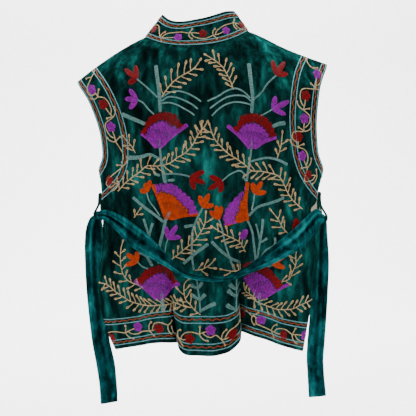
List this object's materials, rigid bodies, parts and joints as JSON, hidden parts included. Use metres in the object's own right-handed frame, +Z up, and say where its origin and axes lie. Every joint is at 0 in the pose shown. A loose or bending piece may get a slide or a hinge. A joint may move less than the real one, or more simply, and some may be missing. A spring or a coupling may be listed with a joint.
{
  "type": "embroidered velvet waistcoat",
  "caption": "Hollow sleeveless waistcoat with stand collar, open front, side vents and a slack sash across the back with hanging ends.",
  "frame": {"origin": "midway between the two neck points, level with the shoulder seams at the neck, where the shoulders carry the garment", "axes": "+Z up; the wearer faces -Y, so the embroidered back looks along +Y; +X is the wearer's left"},
  "size_m": [0.524, 0.2834, 0.8287],
  "materials": {
    "green_velvet": "dark green-teal cotton velvet with chain-stitch embroidery, lined in cream cotton",
    "teal_velvet": "plain teal velvet, crushed"
  },
  "bodies": {
    "root": {"back": "green_velvet", "front_left": "green_velvet", "front_right": "green_velvet", "collar": "green_velvet", "loop_left": "green_velvet", "loop_right": "green_velvet", "sash_back": "teal_velvet", "sash_left_tail": "teal_velvet", "sash_right_tail": "teal_velvet"}
  },
  "joints": []
}
